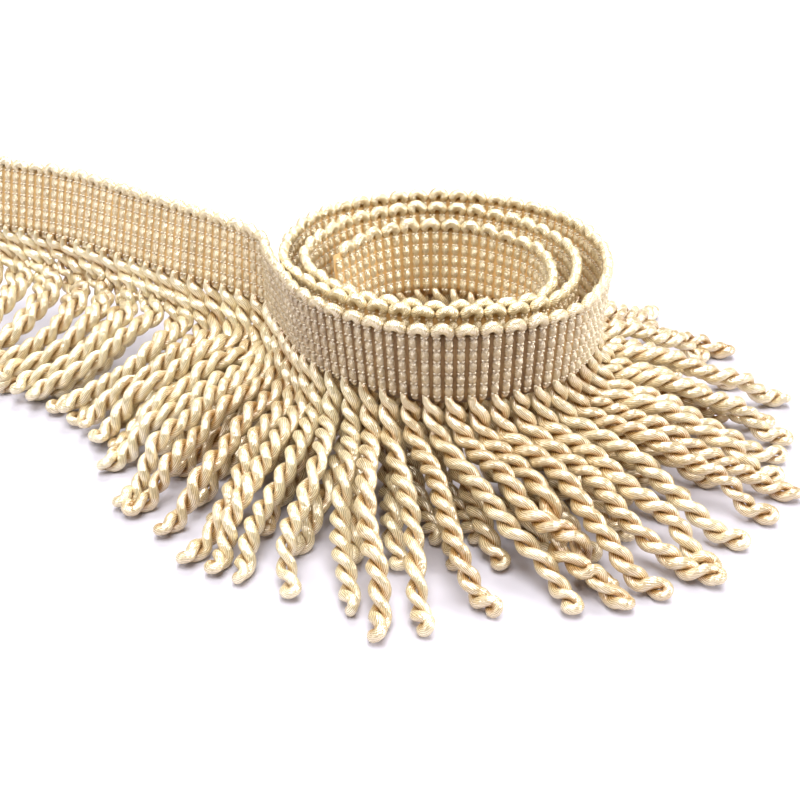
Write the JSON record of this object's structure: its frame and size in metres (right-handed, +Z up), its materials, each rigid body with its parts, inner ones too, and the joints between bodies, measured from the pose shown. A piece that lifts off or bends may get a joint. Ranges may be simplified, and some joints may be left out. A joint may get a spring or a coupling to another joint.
{
  "type": "cord fringe trim",
  "caption": "Coiled length of bullion fringe: a narrow ribbed heading with a scalloped top edge carries twisted rayon cords, and the trim stands on their splayed ends.",
  "frame": {"origin": "on the surface that the trim stands on, under the middle of its box", "axes": "+Z up, +X along the length from the trailing end to the coil, +Y away from the coil's front"},
  "size_m": [0.3148, 0.2241, 0.0614],
  "materials": {
    "heading": "silky woven rayon gimp, antique ivory",
    "cord": "silky twisted rayon gimp, ivory"
  },
  "bodies": {
    "root": {"heading": "heading", "fringe_01": "cord", "fringe_02": "cord", "fringe_03": "cord", "fringe_04": "cord", "fringe_05": "cord", "fringe_06": "cord", "fringe_07": "cord", "fringe_08": "cord", "fringe_09": "cord", "fringe_10": "cord", "fringe_11": "cord", "fringe_12": "cord", "fringe_13": "cord", "fringe_14": "cord", "fringe_15": "cord", "fringe_16": "cord", "fringe_17": "cord", "fringe_18": "cord", "fringe_19": "cord", "fringe_20": "cord", "fringe_21": "cord", "fringe_22": "cord", "fringe_23": "cord", "fringe_24": "cord", "fringe_25": "cord", "fringe_26": "cord", "fringe_27": "cord", "fringe_28": "cord"}
  },
  "joints": []
}
